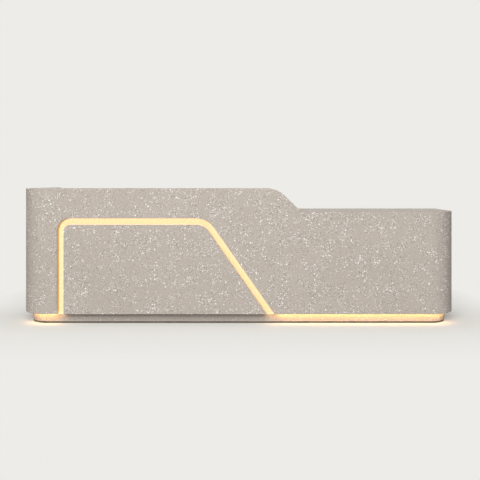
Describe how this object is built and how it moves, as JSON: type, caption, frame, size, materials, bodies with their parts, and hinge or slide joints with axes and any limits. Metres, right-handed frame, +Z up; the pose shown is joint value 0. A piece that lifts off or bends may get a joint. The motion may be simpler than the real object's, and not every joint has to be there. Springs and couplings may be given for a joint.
{
  "type": "reception desk",
  "caption": "Stone-clad reception desk: tall counter with a lit groove round an inset panel, sloping shoulder to a low counter, staff work surface, drawers and cupboard.",
  "frame": {"origin": "middle of the footprint, on the floor", "axes": "+X along the desk towards the low counter, -Y towards the visitor, +Z up"},
  "size_m": [3.4, 0.8, 1.05],
  "materials": {
    "terrazzo": "honed",
    "base_black": "matt",
    "groove_liner": "satin",
    "diffuser": "opal, lit",
    "channel": "anodised",
    "tape": "lit",
    "plywood": "raw plywood",
    "lining": "laminate",
    "worktop": "veneer",
    "carcass": "melamine",
    "fronts": "laminate",
    "black_steel": "powder coat",
    "zinc": "zinc plated",
    "hinge_steel": "satin",
    "black_plastic": "satin",
    "driver_case": "satin"
  },
  "bodies": {
    "desk": {"front_fascia": "terrazzo", "inset_panel": "terrazzo", "left_wing_skin": "terrazzo", "right_end_skin": "terrazzo", "tall_top": "terrazzo", "shoulder_cap": "terrazzo", "low_top": "terrazzo", "end_caps": "terrazzo", "plinth_skin": "terrazzo", "base_strips": "base_black", "groove_liner_outer": "groove_liner", "groove_liner_inner": "groove_liner", "groove_diffuser": "diffuser", "soffit_diffusers": "diffuser", "led_channels": "channel", "led_tapes": "tape", "plinth_frame": "plywood", "soffit_board": "plywood", "wall_battens": "plywood", "corner_formers": "plywood", "top_cores": "plywood", "worktop_supports": "plywood", "front_wall_board": "lining", "wing_lining": "lining", "shoulder_panels": "lining", "work_surface": "worktop", "pedestal_sides": "carcass", "pedestal_bottom": "carcass", "pedestal_back": "carcass", "pedestal_stretchers": "carcass", "cabinet_uprights": "carcass", "cabinet_bottom": "carcass", "cabinet_shelves": "carcass", "ledge_brackets": "black_steel", "worktop_beam": "black_steel", "runner_cabinet_members": "zinc", "bracket_screws": "zinc", "shelf_pins": "zinc", "door_hinges": "hinge_steel", "cable_port_ring": "black_plastic", "door_catches": "black_plastic", "led_leads": "black_plastic", "led_driver": "driver_case"},
    "top_drawer": {"top_drawer_front": "fronts", "top_drawer_box": "carcass", "top_drawer_rails": "zinc"},
    "top_runner": {"top_runner_middles": "zinc"},
    "middle_drawer": {"middle_drawer_front": "fronts", "middle_drawer_box": "carcass", "middle_drawer_rails": "zinc"},
    "middle_runner": {"middle_runner_middles": "zinc"},
    "bottom_drawer": {"bottom_drawer_front": "fronts", "bottom_drawer_box": "carcass", "bottom_drawer_rails": "zinc"},
    "bottom_runner": {"bottom_runner_middles": "zinc"},
    "left_door": {"left_door": "fronts", "left_door_leaves": "hinge_steel"},
    "right_door": {"right_door": "fronts", "right_door_leaves": "hinge_steel"},
    "rocker": {"switch_rocker": "black_plastic"}
  },
  "joints": [
    {"name": "top_drawer_slide", "type": "slide", "parent": "desk", "child": "top_drawer", "axis": [0, 1, 0], "range_m": [0, 0.38]},
    {"name": "top_runner_slide", "type": "slide", "parent": "desk", "child": "top_runner", "axis": [0, 1, 0], "range_m": [0, 0.19]},
    {"name": "middle_drawer_slide", "type": "slide", "parent": "desk", "child": "middle_drawer", "axis": [0, 1, 0], "range_m": [0, 0.38]},
    {"name": "middle_runner_slide", "type": "slide", "parent": "desk", "child": "middle_runner", "axis": [0, 1, 0], "range_m": [0, 0.19]},
    {"name": "bottom_drawer_slide", "type": "slide", "parent": "desk", "child": "bottom_drawer", "axis": [0, 1, 0], "range_m": [0, 0.38]},
    {"name": "bottom_runner_slide", "type": "slide", "parent": "desk", "child": "bottom_runner", "axis": [0, 1, 0], "range_m": [0, 0.19]},
    {"name": "left_door_hinge", "type": "hinge", "parent": "desk", "child": "left_door", "pos_m": [0.48562, 0.204, 0.45], "axis": [0, 0, 1], "range_deg": [0, 110]},
    {"name": "right_door_hinge", "type": "hinge", "parent": "desk", "child": "right_door", "pos_m": [1.599, 0.204, 0.45], "axis": [0, 0, -1], "range_deg": [0, 110]},
    {"name": "switch_rocker_hinge", "type": "hinge", "parent": "desk", "child": "rocker", "pos_m": [-0.13062, -0.273, 0.56], "axis": [1, 0, 0], "range_deg": [-16, 0]}
  ],
  "couplings": [
    {"joint": "top_runner_slide", "follows": "top_drawer_slide", "ratio": 0.5},
    {"joint": "middle_runner_slide", "follows": "middle_drawer_slide", "ratio": 0.5},
    {"joint": "bottom_runner_slide", "follows": "bottom_drawer_slide", "ratio": 0.5}
  ]
}
